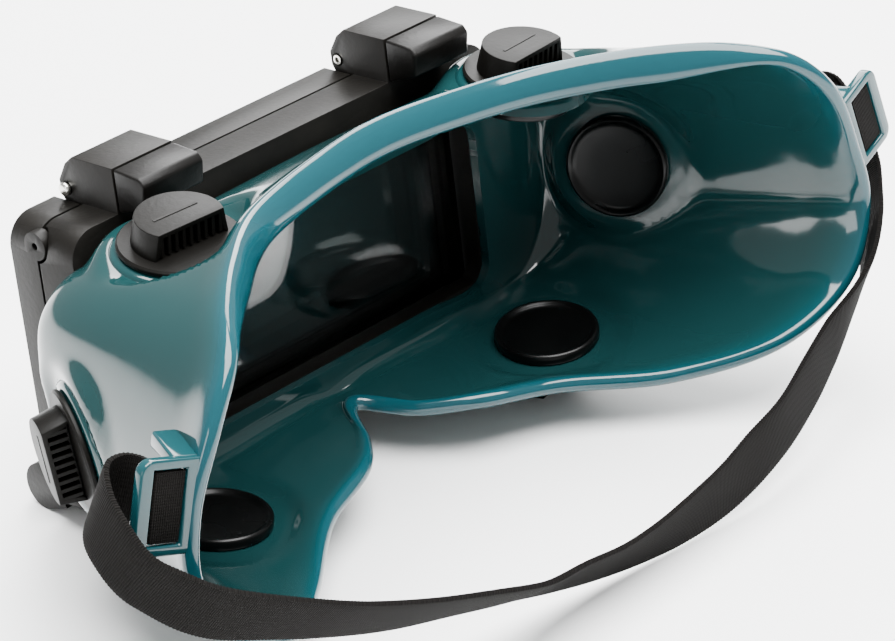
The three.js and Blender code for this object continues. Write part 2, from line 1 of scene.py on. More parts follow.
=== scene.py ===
# Lift-front welding goggles resting on a pale table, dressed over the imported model.
#
# Shapes are given in millimetres, square to the lenses and measured from the centre of the cover lens:
# +X to the wearer's left, +Y back towards the face, +Z up. RESTING turns them into metres and tips them
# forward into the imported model's frame. The strap's own points are already in the resting attitude.
import math

import bmesh
import bpy
from mathutils import Matrix, Vector


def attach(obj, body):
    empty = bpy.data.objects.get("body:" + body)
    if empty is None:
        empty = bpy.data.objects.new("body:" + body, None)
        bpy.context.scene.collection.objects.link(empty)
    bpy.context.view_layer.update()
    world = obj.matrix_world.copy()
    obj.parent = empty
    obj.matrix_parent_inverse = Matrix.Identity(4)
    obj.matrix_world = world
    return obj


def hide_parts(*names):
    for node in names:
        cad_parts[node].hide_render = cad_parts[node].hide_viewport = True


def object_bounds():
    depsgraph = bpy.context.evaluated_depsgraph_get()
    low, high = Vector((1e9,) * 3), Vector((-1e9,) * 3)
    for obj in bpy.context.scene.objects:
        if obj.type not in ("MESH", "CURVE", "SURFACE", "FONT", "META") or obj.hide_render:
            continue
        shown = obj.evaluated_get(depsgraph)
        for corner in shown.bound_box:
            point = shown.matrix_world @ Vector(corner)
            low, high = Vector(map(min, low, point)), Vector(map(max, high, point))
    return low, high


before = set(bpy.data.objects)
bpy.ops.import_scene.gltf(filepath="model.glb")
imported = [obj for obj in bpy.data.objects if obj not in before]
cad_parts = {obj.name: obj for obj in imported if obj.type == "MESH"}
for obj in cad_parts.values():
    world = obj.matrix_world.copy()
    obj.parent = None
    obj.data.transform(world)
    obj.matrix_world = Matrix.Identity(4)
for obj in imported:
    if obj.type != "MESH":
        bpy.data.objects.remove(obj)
cad_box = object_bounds()

# ------------------------------------------------------------------ sizes and places
MM = 0.001
LEAN = math.radians(7.5)
HOUSING_BASE = Vector((0, 12, -31))  # centre of the housing's underside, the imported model's origin
TIP = Matrix.Rotation(LEAN, 4, "X")
SHIFT = Matrix.Translation(-(TIP @ HOUSING_BASE))
RESTING = Matrix.Scale(MM, 4) @ SHIFT @ TIP
LYING = Matrix.Scale(MM, 4) @ SHIFT

WALL = 2.2  # mask wall
BEAD = 3.4  # rolled edge of the mask
BROW_LIP = 4.2  # how much deeper that edge is where it rests on the brow
PANEL_Y = 18.55  # middle of the mask's flat front panel
PANEL_MARGIN = 8  # the flat stops this far inside the shoulder
PAD_RADIUS = 14.4  # flat pad moulded in the wall under each vent
PAD_REACH = 19  # where the pad has faded back into the wall

VENT_FLANGE_RADIUS = 12.4
VENT_BOSS_RADIUS = 13.2
VENT_BOSS_RISE = 1.9
VENT_SEAT = 2.25
VENT_FLANGE_TOP = 3.45
HOOD_RADIUS = 9.6
HOOD_HEIGHT = 5.4
LOUVRE_FACE = 3.8
LOUVRE_COUNT = 8
LOUVRE_PITCH = 1.75
DISH_RADIUS = 11.2
VENT_STEPS = 96  # facets round a vent

PIN_Y = 2.7
PIN_Z = 36.5
PIN_INNER_END = 29.7  # from the middle of the goggles to the pin's hollow end

TAB_CENTRE = Vector((100.3, 84.6, 13.8))
TAB_ACROSS = Vector((0.945, -0.12, 0.3)).normalized()
TAB_UP = Vector((-0.345, 0.03, 0.938))
TAB_WIDTH = 13
TAB_HEIGHT = 18
TAB_THICKNESS = 2.4
TAB_BAR = 2.8
TAB_CORNER = 2.6
TAB_ROOT = 1.2  # how far the loop runs into the mask's edge
SLOT_WIDTH = 7.4
SLOT_HEIGHT = 14.2

STRAP_WIDTH = 13.4
STRAP_THICKNESS = 1.3
RIB_PITCH = 0.75
RIB_NOTCH = 0.36  # how much narrower the webbing is between two ribs

SIDES = (("left", 1), ("right", -1))


# ------------------------------------------------------------------ camera, table and lights
def make_camera():
    data = bpy.data.cameras.new("camera")
    data.sensor_width = 36
    data.lens = 155.16
    data.clip_start = 0.01
    data.clip_end = 20
    camera = bpy.data.objects.new("camera", data)
    right = Vector((-0.68107, 0.73214, -0.01097))
    back = Vector((0.62925, 0.59289, 0.50252)).normalized()
    right = (right - back * right.dot(back)).normalized()
    up = back.cross(right)
    turn = Matrix((right, up, back)).transposed().to_4x4()
    place = Vector((481.4129, 510.2665, 393.775)) - TIP @ HOUSING_BASE
    camera.matrix_world = Matrix.Translation(place * MM) @ turn
    bpy.context.scene.collection.objects.link(camera)
    bpy.context.scene.camera = camera


def add_area_light(name, place, target, width, height, watts):
    data = bpy.data.lights.new(name, "AREA")
    data.shape = "RECTANGLE"
    data.size = width
    data.size_y = height
    data.energy = watts
    light = bpy.data.objects.new(name, data)
    light.location = place
    aim = Vector(target) - Vector(place)
    light.rotation_mode = "QUATERNION"
    light.rotation_quaternion = aim.to_track_quat("-Z", "Y")
    bpy.context.scene.collection.objects.link(light)


def light_the_table():
    target = (0, 0.04, 0.03)
    add_area_light("overhead_softbox", (-0.1, 0.05, 1.3), target, 1.6, 1.2, 125)
    add_area_light("back_softbox", (-1.0, -0.7, 0.8), target, 0.8, 0.8, 30)
    add_area_light("wearer_left_softbox", (1.2, 0.1, 0.5), target, 0.35, 0.45, 4)
    world = bpy.data.worlds.new("studio")
    world.use_nodes = True
    background = world.node_tree.nodes["Background"]
    background.inputs["Color"].default_value = (1.0, 1.0, 1.0, 1.0)
    background.inputs["Strength"].default_value = 0.65
    bpy.context.scene.world = world


def make_table():
    bm = bmesh.new()
    bmesh.ops.create_grid(bm, x_segments=2, y_segments=2, size=4)
    bmesh.ops.translate(bm, verts=bm.verts, vec=(0, 0, cad_box[0].z))
    mesh = bpy.data.meshes.new("table_top")
    bm.to_mesh(mesh)
    bm.free()
    table = bpy.data.objects.new("table_top", mesh)
    bpy.context.scene.collection.objects.link(table)
    surface = bpy.data.materials.new("pale_table")
    surface.use_nodes = True
    shader = surface.node_tree.nodes["Principled BSDF"]
    shader.inputs["Base Color"].default_value = (0.93, 0.935, 0.935, 1)
    shader.inputs["Roughness"].default_value = 0.6
    mesh.materials.append(surface)


# ------------------------------------------------------------------ finishes
def new_finish(name, colour, roughness, **sockets):
    """A material whose shader holds its plain values, and the node tree to dress it with."""
    finish = bpy.data.materials.new(name)
    finish.use_nodes = True
    shader = finish.node_tree.nodes["Principled BSDF"]
    shader.inputs["Base Color"].default_value = (*colour, 1)
    shader.inputs["Roughness"].default_value = roughness
    for socket, value in sockets.items():
        shader.inputs[socket.replace("_", " ")].default_value = value
    return finish


def add_node(finish, kind, **values):
    node = finish.node_tree.nodes.new(kind)
    for key, value in values.items():
        if key in node.inputs:
            node.inputs[key].default_value = value
        else:
            setattr(node, key, value)
    return node


def shader_of(finish):
    return finish.node_tree.nodes["Principled BSDF"]


def place_noise(finish, scale, detail=3.0):
    """Noise over the piece's own Object coordinates."""
    links = finish.node_tree.links
    where = add_node(finish, "ShaderNodeTexCoord")
    noise = add_node(finish, "ShaderNodeTexNoise", Scale=scale, Detail=detail)
    links.new(where.outputs["Object"], noise.inputs["Vector"])
    return noise.outputs["Fac"]


def tint(finish, factor, colours, socket="Base Color"):
    """Runs a factor through a ramp of (position, colour) stops into the shader."""
    ramp = add_node(finish, "ShaderNodeValToRGB")
    stops = ramp.color_ramp.elements
    for index, (position, colour) in enumerate(colours):
        stop = stops[index] if index < 2 else stops.new(position)
        stop.position = position
        stop.color = (*colour, 1)
    finish.node_tree.links.new(factor, ramp.inputs["Fac"])
    finish.node_tree.links.new(ramp.outputs["Color"], shader_of(finish).inputs[socket])


def emboss(finish, height, strength, distance):
    bump = add_node(finish, "ShaderNodeBump", Strength=strength, Distance=distance)
    finish.node_tree.links.new(height, bump.inputs["Height"])
    finish.node_tree.links.new(bump.outputs["Normal"], shader_of(finish).inputs["Normal"])


def vary_roughness(finish, factor, low, high):
    spread = add_node(finish, "ShaderNodeMapRange")
    spread.inputs["To Min"].default_value = low
    spread.inputs["To Max"].default_value = high
    finish.node_tree.links.new(factor, spread.inputs["Value"])
    finish.node_tree.links.new(spread.outputs["Result"], shader_of(finish).inputs["Roughness"])


def teal_vinyl():
    """Glossy teal vinyl with a painted glow: the colour is brighter where the rolled edge lets light through,
    with a painted highlight on the vent pads and painted light-through on the strap loops.
    """
    finish = new_finish("teal_vinyl", (0.0015, 0.02, 0.022), 0.08, IOR=1.5)
    edge = add_node(finish, "ShaderNodeAttribute", attribute_name="painted_glow")
    body, lip, bead_glow_paint = (0.0045, 0.026, 0.027), (0.004, 0.032, 0.035), (0.004, 0.044, 0.056)
    # painted glow: the ramp lightens the base colour from body through lip to the bead, standing in for light
    # shining through the vinyl
    tint(finish, edge.outputs["Fac"], [(0, body), (1, bead_glow_paint), (0.5, lip)])
    vary_roughness(finish, place_noise(finish, 45), 0.05, 0.11)
    emboss(finish, place_noise(finish, 60, 2.0), 0.15, 0.0008)
    return finish


def moulded_black(name, dark, light, roughness, gloss, grain=0.25):
    """Satin moulded plastic with a fine grain."""
    finish = new_finish(name, dark, roughness)
    shader_of(finish).inputs["Specular IOR Level"].default_value = gloss
    tint(finish, place_noise(finish, 120), [(0.3, dark), (0.75, light)])
    vary_roughness(finish, place_noise(finish, 60), roughness - 0.06, roughness + 0.08)
    emboss(finish, place_noise(finish, 900), grain, 0.0002)
    return finish


def bright_steel(name, colour, roughness):
    finish = new_finish(name, colour, roughness, Metallic=1.0)
    vary_roughness(finish, place_noise(finish, 500), roughness, roughness + 0.12)
    emboss(finish, place_noise(finish, 1500), 0.08, 0.0001)
    return finish


def clear_plate():
    finish = new_finish("clear_plate", (0.9, 0.96, 0.95), 0.02, IOR=1.5, Transmission_Weight=1.0)
    vary_roughness(finish, place_noise(finish, 30), 0.01, 0.05)
    return finish


def shade_plate():
    finish = new_finish("shade_plate", (0.005, 0.0065, 0.0065), 0.04, IOR=1.7)
    tint(finish, place_noise(finish, 12), [(0.3, (0.005, 0.006, 0.006)), (0.7, (0.008, 0.0105, 0.0105))])
    vary_roughness(finish, place_noise(finish, 30), 0.02, 0.06)
    return finish


def soft_gasket():
    finish = new_finish("soft_gasket", (0.012, 0.012, 0.012), 0.8)
    tint(finish, place_noise(finish, 200), [(0.3, (0.01, 0.01, 0.01)), (0.8, (0.022, 0.021, 0.02))])
    emboss(finish, place_noise(finish, 800), 0.3, 0.0002)
    return finish


def ribbed_webbing():
    """Woven elastic: fine ribs across the strap, following its own length."""
    finish = new_finish("ribbed_webbing", (0.003, 0.0026, 0.0023), 0.9)
    shader_of(finish).inputs["Specular IOR Level"].default_value = 0.1
    links = finish.node_tree.links
    along = add_node(finish, "ShaderNodeUVMap", uv_map="weave")
    ribs = add_node(finish, "ShaderNodeTexWave", bands_direction="X", Distortion=0.4, Detail=1.0)
    ribs.inputs["Scale"].default_value = 0.5 / RIB_PITCH
    yarns = add_node(finish, "ShaderNodeTexWave", bands_direction="Y", Scale=0.55, Distortion=0.6)
    mix = add_node(finish, "ShaderNodeMath", operation="MULTIPLY_ADD")
    mix.inputs[1].default_value = 0.35
    links.new(along.outputs["UV"], ribs.inputs["Vector"])
    links.new(along.outputs["UV"], yarns.inputs["Vector"])
    links.new(yarns.outputs["Fac"], mix.inputs[0])
    links.new(ribs.outputs["Fac"], mix.inputs[2])
    tint(finish, mix.outputs["Value"], [(0.2, (0.0013, 0.0011, 0.001)), (1.0, (0.0052, 0.0044, 0.0038))])
    emboss(finish, mix.outputs["Value"], 0.6, 0.0003)
    return finish


VINYL = teal_vinyl()
HOUSING_BLACK = moulded_black(
    "housing_black", dark=(0.0034, 0.0031, 0.0026), light=(0.006, 0.0053, 0.0044), roughness=0.42, gloss=0.14,
)
CAP_BLACK = moulded_black(
    "cap_black", dark=(0.0026, 0.0024, 0.0021), light=(0.0044, 0.004, 0.0036), roughness=0.38, gloss=0.14,
)
VENT_BLACK = moulded_black(
    "vent_black", dark=(0.0026, 0.0024, 0.002), light=(0.0044, 0.004, 0.0034), roughness=0.42, gloss=0.09,
)
DISH_BLACK = moulded_black(
    "dish_black", dark=(0.0012, 0.0013, 0.0013), light=(0.002, 0.0021, 0.0021),
    roughness=0.28, gloss=0.2, grain=0.03,
)
PIN_STEEL = bright_steel("pin_steel", (0.82, 0.8, 0.75), 0.16)
SPRING_STEEL = bright_steel("spring_steel", (0.5, 0.5, 0.5), 0.3)
CLEAR_PLATE = clear_plate()
SHADE_PLATE = shade_plate()
SOFT_GASKET = soft_gasket()
WEBBING = ribbed_webbing()


# ------------------------------------------------------------------ making pieces
def finish_piece(name, bm, finish, body, stands_for, place=RESTING, crease=38):
    """Moves a shape into the model's frame and makes it a piece that rides on a body."""
    bmesh.ops.transform(bm, matrix=place, verts=bm.verts)
    mesh = bpy.data.meshes.new(name)
    bm.to_mesh(mesh)
    bm.free()
    mesh.polygons.foreach_set("use_smooth", [True] * len(mesh.polygons))
    mesh.set_sharp_from_angle(angle=math.radians(crease))
    mesh.materials.append(finish)
    piece = bpy.data.objects.new(name, mesh)
    bpy.context.scene.collection.objects.link(piece)
    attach(piece, body)
    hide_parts(*stands_for)
    return piece


def dress_node(node, finish):
    """Gives a CAD node that keeps its shape a better material."""
    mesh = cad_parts[node].data
    mesh.materials.clear()
    mesh.materials.append(finish)


def soften_edges(bm, width, segments=2, sharper_than=28):
    limit = math.radians(sharper_than)
    edges = [e for e in bm.edges if len(e.link_faces) == 2 and e.calc_face_angle(0) > limit]
    bmesh.ops.bevel(
        bm, geom=edges, offset=width, offset_type="OFFSET", affect="EDGES", segments=segments,
        profile=0.5, material=-1, clamp_overlap=True,
    )


def softened_copy(node, name, finish, body, width):
    """A copy of a moulded CAD node with its flats rejoined and its edges rounded over."""
    bm = bmesh.new()
    bm.from_mesh(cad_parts[node].data)
    bmesh.ops.remove_doubles(bm, verts=bm.verts, dist=0.002 * MM)
    bmesh.ops.dissolve_limit(bm, angle_limit=math.radians(0.8), verts=bm.verts, edges=bm.edges)
    soften_edges(bm, width * MM)
    return finish_piece(name, bm, finish, body, [node], place=Matrix.Identity(4), crease=30)


def lathe(bm, profile, steps=72):
    """Spins (radius, height) points about Z into a closed shape."""
    ring = [bm.verts.new((radius, 0, height)) for radius, height in profile]
    edges = [bm.edges.new(pair) for pair in zip(ring, ring[1:])]
    bmesh.ops.spin(
        bm, geom=ring + edges, cent=(0, 0, 0), axis=(0, 0, 1), angle=2 * math.pi, steps=steps,
        use_merge=True,
    )
    bmesh.ops.remove_doubles(bm, verts=bm.verts, dist=0.001)
    bmesh.ops.recalc_face_normals(bm, faces=bm.faces)


def add_block(bm, x, y, z):
    """A box between low and high limits along each axis."""
    size = Vector((x[1] - x[0], y[1] - y[0], z[1] - z[0]))
    centre = Vector((x[1] + x[0], y[1] + y[0], z[1] + z[0])) / 2
    matrix = Matrix.Translation(centre) @ Matrix.Diagonal((*size, 1))
    return bmesh.ops.create_cube(bm, size=1, matrix=matrix)["verts"]


def join_shape(bm, shape, matrix):
    """Adds a finished shape to a mesh at its place."""
    bmesh.ops.transform(shape, matrix=matrix, verts=shape.verts)
    loose = bpy.data.meshes.new("shape")
    shape.to_mesh(loose)
    shape.free()
    bm.from_mesh(loose)
    bpy.data.meshes.remove(loose)


# ------------------------------------------------------------------ smooth lines
def smooth_step(share):
    share = min(max(share, 0), 1)
    return share * share * (3 - 2 * share)


def blend_between(points, weight):
    """A centripetal curve through four points, between the middle two."""
    p0, p1, p2, p3 = points
    d0, d1, d2 = ((b - a).length ** 0.5 for a, b in ((p0, p1), (p1, p2), (p2, p3)))
    start = ((p1 - p0) / d0 - (p2 - p0) / (d0 + d1) + (p2 - p1) / d1) * d1
    end = ((p2 - p1) / d1 - (p3 - p1) / (d1 + d2) + (p3 - p2) / d2) * d1
    a = 2 * p1 - 2 * p2 + start + end
    b = 3 * p2 - 3 * p1 - 2 * start - end
    return ((a * weight + b) * weight + start) * weight + p1


def on_closed_line(points, u):
    count = len(points)
    index = math.floor(u)
    near = [points[(index + step) % count] for step in (-1, 0, 1, 2)]
    return blend_between(near, u - index)


def on_open_line(points, u):
    index = min(math.floor(u), len(points) - 2)
    before = points[index - 1] if index else 2 * points[0] - points[1]
    after = points[index + 2] if index + 2 < len(points) else 2 * points[-1] - points[-2]
    return blend_between([before, points[index], points[index + 1], after], u - index)


# ------------------------------------------------------------------ the mask's wall
# Half of the mask from the middle of the brow to the nose: the window's edge (x, z), the front panel's
# shoulder (x, z) and the face edge (x, y, z).
MASK_STATIONS = [
    ((0, 19), (0, 31), (0, 43.5, 40.6)),
    ((18, 19), (20, 31), (20, 45.5, 39.8)),
    ((36, 19), (41, 31), (41, 51.3, 38.9)),
    ((47.5, 19), (57, 31), (58.3, 63.8, 38.9)),
    ((50.4, 16), (68, 29.5), (71, 75.1, 37.4)),
    ((50.8, 11), (74.5, 24), (79.6, 83.4, 33.6)),
    ((50.8, 6), (76.6, 15), (88, 86.2, 24.5)),
    ((50.8, 1), (77, 5), (95, 85.3, 9.5)),
    ((50.8, -5), (76.5, -6), (97, 85.8, -3.5)),
    ((50.8, -11), (73, -17), (89, 86.6, -17.5)),
    ((50.4, -16), (65, -25.5), (72, 82, -26.6)),
    ((47.5, -19), (50, -28.6), (53.3, 67.5, -30.6)),
    ((32, -19), (33, -28.6), (33.9, 52.6, -28.4)),
    ((18, -19), (19, -28), (17.2, 46.4, -26.2)),
    ((8, -19), (9, -27.3), (8, 37.5, -26.4)),
    ((0, -19), (0, -27), (0, 26.3, -24.8)),
]
STATION_COUNT = 2 * (len(MASK_STATIONS) - 1)


def round_trip(half):
    """The half line, then its mirror image back to the start."""
    return half + [Vector((-p.x, p.y, p.z)) for p in reversed(half[1:-1])]


WINDOW_LINE = round_trip([Vector((w[0], PANEL_Y, w[1])) for w, _, _ in MASK_STATIONS])
SHOULDER_LINE = round_trip([Vector((s[0], PANEL_Y, s[1])) for _, s, _ in MASK_STATIONS])
EDGE_LINE = round_trip([Vector(e) for _, _, e in MASK_STATIONS])


def wall_controls(u):
    """The four control points of the wall's curve, from the panel's flat round to the face edge."""
    shoulder = on_closed_line(SHOULDER_LINE, u)
    inward = on_closed_line(WINDOW_LINE, u) - shoulder
    flat_end = shoulder + inward * min(0.8, PANEL_MARGIN / inward.length)
    edge = on_closed_line(EDGE_LINE, u)
    approach = Vector((
        shoulder.x + 0.2 * (edge.x - shoulder.x),
        shoulder.y + 0.45 * (edge.y - shoulder.y),
        shoulder.z + 0.2 * (edge.z - shoulder.z),
    ))
    return flat_end, shoulder, approach, edge


def wall_point(controls, v):
    a, b, c, d = controls
    w = 1 - v
    return a * w ** 3 + b * (3 * w * w * v) + c * (3 * w * v * v) + d * v ** 3


def wall_along(controls, v):
    a, b, c, d = controls
    w = 1 - v
    return ((b - a) * w * w + (c - b) * (2 * w * v) + (d - c) * v * v).normalized()


# Where each left-hand vent sits on the mask, and which way it faces.
VENT_SITES = [
    ("top", Vector((48.6, 37.3, 31.2)), Vector((0.03, 0.16, 0.986))),
    ("side", Vector((77, 36.2, 2.2)), Vector((0.924, -0.446, -0.096))),
    ("bottom", Vector((49, 36.3, -28.7)), Vector((0.088, -0.115, -0.989))),
]
VENT_PADS = [
    (Vector((side * at.x, at.y, at.z)), Vector((side * facing.x, facing.y, facing.z)).normalized())
    for _, at, facing in VENT_SITES
    for _, side in SIDES
]


def pad_shift(at):
    """How far a point of the wall moves to lie in the flat pad under the nearest vent."""
    shift = Vector((0, 0, 0))
    for centre, facing in VENT_PADS:
        offset = at - centre
        height = offset.dot(facing)
        if abs(height) > PAD_REACH:
            continue
        radius = math.sqrt(max(0, offset.length_squared - height * height))
        fade = smooth_step((radius - PAD_RADIUS) / (PAD_REACH - PAD_RADIUS))
        shift -= facing * (height * (1 - fade))
    return shift


class WallRing:
    """The wall all the way from window to face edge at one place round the mask."""

    def __init__(self, u):
        step = 0.05
        self.here = wall_controls(u)
        self.before = wall_controls(u - step)
        self.after = wall_controls(u + step)
        self.window = on_closed_line(WINDOW_LINE, u)
        self.lip = brow_lip(u)

    def frame(self, v):
        along = wall_along(self.here, v)
        around = (wall_point(self.after, v) - wall_point(self.before, v)).normalized()
        return wall_point(self.here, v), along, around.cross(along).normalized()


WALL_STEPS = [step / 44 for step in range(45)]
ROLL_STEPS = 7


def half_thickness(v):
    """Half the wall, swelling into the rolled edge."""
    return (WALL + (BEAD - WALL) * smooth_step((v - 0.9) / 0.1)) / 2


def brow_lip(u):
    """Extra depth of the rolled edge where it rests on the brow."""
    return BROW_LIP * (1 - smooth_step((min(u, STATION_COUNT - u) - 3) / 2))


def mask_section(ring):
    """One closed section of the mask's skin, with each point's share of painted glow, rising into the rolled
    edge.
    """
    lip = [(ring.window + Vector((0, side * WALL * 0.5, 0)), 0.15) for side in (-1, 1)]
    outer = []
    inner = []
    for v in WALL_STEPS:
        at, _, normal = ring.frame(v)
        near_edge = smooth_step((v - 0.82) / 0.14)
        at += pad_shift(at) * (1 - near_edge)
        # painted glow share: rises through the rolled edge, where light shows through the vinyl
        glow = min(max((v - 0.92) / 0.08, 0), 1)
        outer.append((at + normal * half_thickness(v), glow))
        inner.append((at - normal * (half_thickness(v) + ring.lip * glow * glow), glow * 0.8))
    at, along, normal = ring.frame(1)
    roll = []
    for index in range(1, ROLL_STEPS + 1):
        angle = math.pi * (0.5 - index / (ROLL_STEPS + 1))
        across = (math.sin(angle) * (BEAD + ring.lip) - ring.lip) / 2
        roll.append((at + along * math.cos(angle) * BEAD / 2 + normal * across, 1.0))
    return [lip[0], *outer, *roll, *reversed(inner), lip[1]]


def mask_skin():
    """The moulded skin: a grid wrapped round the mask one way and round its own section the other."""
    bm = bmesh.new()
    section_count = 2 + 2 * len(WALL_STEPS) + ROLL_STEPS
    ring_count = 320
    bmesh.ops.create_grid(bm, x_segments=ring_count, y_segments=section_count, size=0.5)
    # per-point painted glow, read by the vinyl's colour ramp
    painted_glow_layer = bm.verts.layers.float.new("painted_glow")
    sections = {}
    for vert in bm.verts:
        turn = round((vert.co.x + 0.5) * ring_count) % ring_count
        if turn not in sections:
            sections[turn] = mask_section(WallRing(turn * STATION_COUNT / ring_count))
        point, glow = sections[turn][round((vert.co.y + 0.5) * section_count) % section_count]
        vert.co = point
        vert[painted_glow_layer] = glow
    bmesh.ops.remove_doubles(bm, verts=bm.verts, dist=0.0005)
    bmesh.ops.recalc_face_normals(bm, faces=bm.faces)
    return bm


# ------------------------------------------------------------------ vents
def vent_place(centre, facing, side):
    """A vent's own axes: +Z out of the mask, +Y back towards the face, where its louvres look."""
    at = centre.copy()
    normal = facing.normalized()
    back = Vector((0.1, 1, 0))
    if side < 0:
        for vector in (at, normal, back):
            vector.x *= -1
    back = (back - normal * back.dot(normal)).normalized()
    axes = Matrix((back.cross(normal), back, normal)).transposed().to_4x4()
    return Matrix.Translation(at) @ axes


def every_vent():
    for row, centre, facing in VENT_SITES:
        for side_name, side in SIDES:
            yield f"{row}_{side_name}", vent_place(centre, facing, side)


def boss_ring():
    """The raised pad moulded into the mask under a vent's flange."""
    bm = bmesh.new()
    top = VENT_BOSS_RISE
    lathe(bm, [(0, -0.6), (14.4, -0.6), (13.9, 0.9), (13.5, 1.5), (12.9, top), (0, top)])
    return bm


def hood_shell():
    """The D-shaped hood: a low drum cut flat at the back, with a recess for the louvres."""
    bm = bmesh.new()
    top = VENT_FLANGE_TOP + HOOD_HEIGHT
    seat = Matrix.Translation((0, 0, (VENT_FLANGE_TOP - 0.3 + top) / 2))
    bmesh.ops.create_cone(
        bm, cap_ends=True, segments=VENT_STEPS, radius1=HOOD_RADIUS, radius2=HOOD_RADIUS - 0.9,
        depth=HOOD_HEIGHT + 0.3, matrix=seat,
    )
    everything = bm.verts[:] + bm.edges[:] + bm.faces[:]
    cut = bmesh.ops.bisect_plane(
        bm, geom=everything, dist=0.001, plane_co=(0, LOUVRE_FACE, 0), plane_no=(0, 1, 0),
        clear_outer=True,
    )
    rim = [e for e in cut["geom_cut"] if isinstance(e, bmesh.types.BMEdge)]
    bmesh.ops.holes_fill(bm, edges=rim)
    bmesh.ops.recalc_face_normals(bm, faces=bm.faces)
    front = [f for f in bm.faces if f.normal.y > 0.9]
    bmesh.ops.inset_region(bm, faces=front, thickness=1.0, use_even_offset=True)
    middle = [f for f in bm.faces if f.normal.y > 0.9 and abs(f.calc_center_median().x) < 1]
    front = [f for f in middle if f.calc_area() > 15]
    deep = bmesh.ops.extrude_face_region(bm, geom=front)
    moved = [v for v in deep["geom"] if isinstance(v, bmesh.types.BMVert)]
    bmesh.ops.translate(bm, verts=moved, vec=(0, -2.2, 0))
    bmesh.ops.delete(bm, geom=front, context="FACES_KEEP_BOUNDARY")
    soften_edges(bm, 0.45, 3, 50)
    return bm


def hood_fins(bm):
    """The louvres: thin upright fins across the recess."""
    low = VENT_FLANGE_TOP + 0.5
    high = VENT_FLANGE_TOP + HOOD_HEIGHT - 0.7
    for index in range(LOUVRE_COUNT + 1):
        x = (index - LOUVRE_COUNT / 2) * LOUVRE_PITCH
        add_block(bm, (x - 0.36, x + 0.36), (LOUVRE_FACE - 1.9, LOUVRE_FACE - 0.05), (low, high))


def make_vent_hood(name, place):
    bm = bmesh.new()
    low, high = VENT_SEAT, VENT_FLANGE_TOP
    edge = VENT_FLANGE_RADIUS
    flange = [
        (0, low), (edge - 0.2, low), (edge, low + 0.25),
        (edge, high - 0.4), (edge - 0.4, high), (0, high),
    ]
    lathe(bm, flange, VENT_STEPS)
    join_shape(bm, hood_shell(), Matrix.Identity(4))
    hood_fins(bm)
    top = VENT_FLANGE_TOP + HOOD_HEIGHT
    add_block(bm, (-5.2, 5.2), (-1.5, -0.9), (top - 0.1, top + 0.12))
    finish_piece(
        f"hood_{name}", bm, VENT_BLACK, "mask", [f"vent_hood_{name}"], RESTING @ place,
    )


def make_vent_dish(name, place):
    """The round dish seen inside the mask, with its glossy raised lip."""
    bm = bmesh.new()
    edge = DISH_RADIUS
    profile = [
        (0, -1.45), (edge - 0.1, -1.45), (edge, -1.6), (edge, -3.1), (edge - 0.2, -3.45), (edge - 0.6, -3.62),
        (edge - 1.0, -3.5), (edge - 1.3, -3.1), (edge - 1.7, -2.75), (edge - 2.4, -2.6),
        (edge * 0.5, -2.35), (0, -2.2),
    ]
    lathe(bm, profile, VENT_STEPS)
    finish_piece(
        f"dish_{name}", bm, DISH_BLACK, "mask", [f"vent_baffle_{name}"], RESTING @ place,
    )


# ------------------------------------------------------------------ strap loops and the mask
def tab_place(side):
    """A strap loop's own axes: +X along its width, +Y towards the face and +Z up the slot."""
    across = TAB_ACROSS.copy()
    up = (TAB_UP - across * TAB_UP.dot(across)).normalized()
    back = up.cross(across)
    centre = TAB_CENTRE.copy()
    if side < 0:
        for vector in (across, up, back, centre):
            vector.x *= -1
        across.negate()
    return Matrix.Translation(centre) @ Matrix((across, back, up)).transposed().to_4x4()


def strap_loop(side):
    """The loop moulded on the cheek: a flat frame round the slot, rooted in the mask's edge."""
    bm = bmesh.new()
    outer_edge = side * TAB_WIDTH / 2
    root = -side * (TAB_WIDTH / 2 + TAB_ROOT)
    slot_outer = side * (TAB_WIDTH / 2 - TAB_BAR)
    slot_inner = slot_outer - side * SLOT_WIDTH
    outline = [(root, -1), (outer_edge, -1), (outer_edge, 1), (root, 1)]
    opening = [(slot_inner, -1), (slot_outer, -1), (slot_outer, 1), (slot_inner, 1)]
    rings = []
    for corners, height in ((outline, TAB_HEIGHT), (opening, SLOT_HEIGHT)):
        verts = [bm.verts.new((x, -TAB_THICKNESS / 2, z * height / 2)) for x, z in corners]
        rings.append([bm.edges.new((verts[i], verts[(i + 1) % 4])) for i in range(4)])
    bmesh.ops.bridge_loops(bm, edges=rings[0] + rings[1])
    flat = bmesh.ops.extrude_face_region(bm, geom=bm.faces[:])
    moved = [v for v in flat["geom"] if isinstance(v, bmesh.types.BMVert)]
    bmesh.ops.translate(bm, verts=moved, vec=(0, TAB_THICKNESS, 0))
    bmesh.ops.recalc_face_normals(bm, faces=bm.faces)
    corners = [
        e for e in bm.edges
        if abs(e.verts[0].co.y - e.verts[1].co.y) > 1 and abs(e.verts[0].co.x - outer_edge) < 0.01
    ]
    bmesh.ops.bevel(
        bm, geom=corners, offset=TAB_CORNER, offset_type="OFFSET", affect="EDGES", segments=6,
        profile=0.5, material=-1,
    )
    soften_edges(bm, 0.7, 3, 40)
    return bm


def strap_loop_gusset(side):
    """The wedge ahead of the strap loop that ties its top bar to the cheek."""
    bm = bmesh.new()
    add_block(bm, (-1, 1), (-1, 1), (-1, 1))
    for vert in bm.verts:
        outer, rear, upper = (component > 0 for component in vert.co)
        across = (-0.6 if rear else -3.6) if outer else (-7.4 if rear else -9.2)
        depth = 0.2 if rear else -11
        height = (9.1 if rear else 10.6) if upper else (7.1 if rear else 7.4)
        vert.co = (side * across, depth, height)
    bmesh.ops.recalc_face_normals(bm, faces=bm.faces)
    soften_edges(bm, 0.6, 3, 30)
    return bm


# Gives a whole moulding one painted-glow share for the vinyl's colour ramp.
def paint_glow(bm, value):
    layer = bm.verts.layers.float.get("painted_glow") or bm.verts.layers.float.new("painted_glow")
    for vert in bm.verts:
        vert[layer] = value


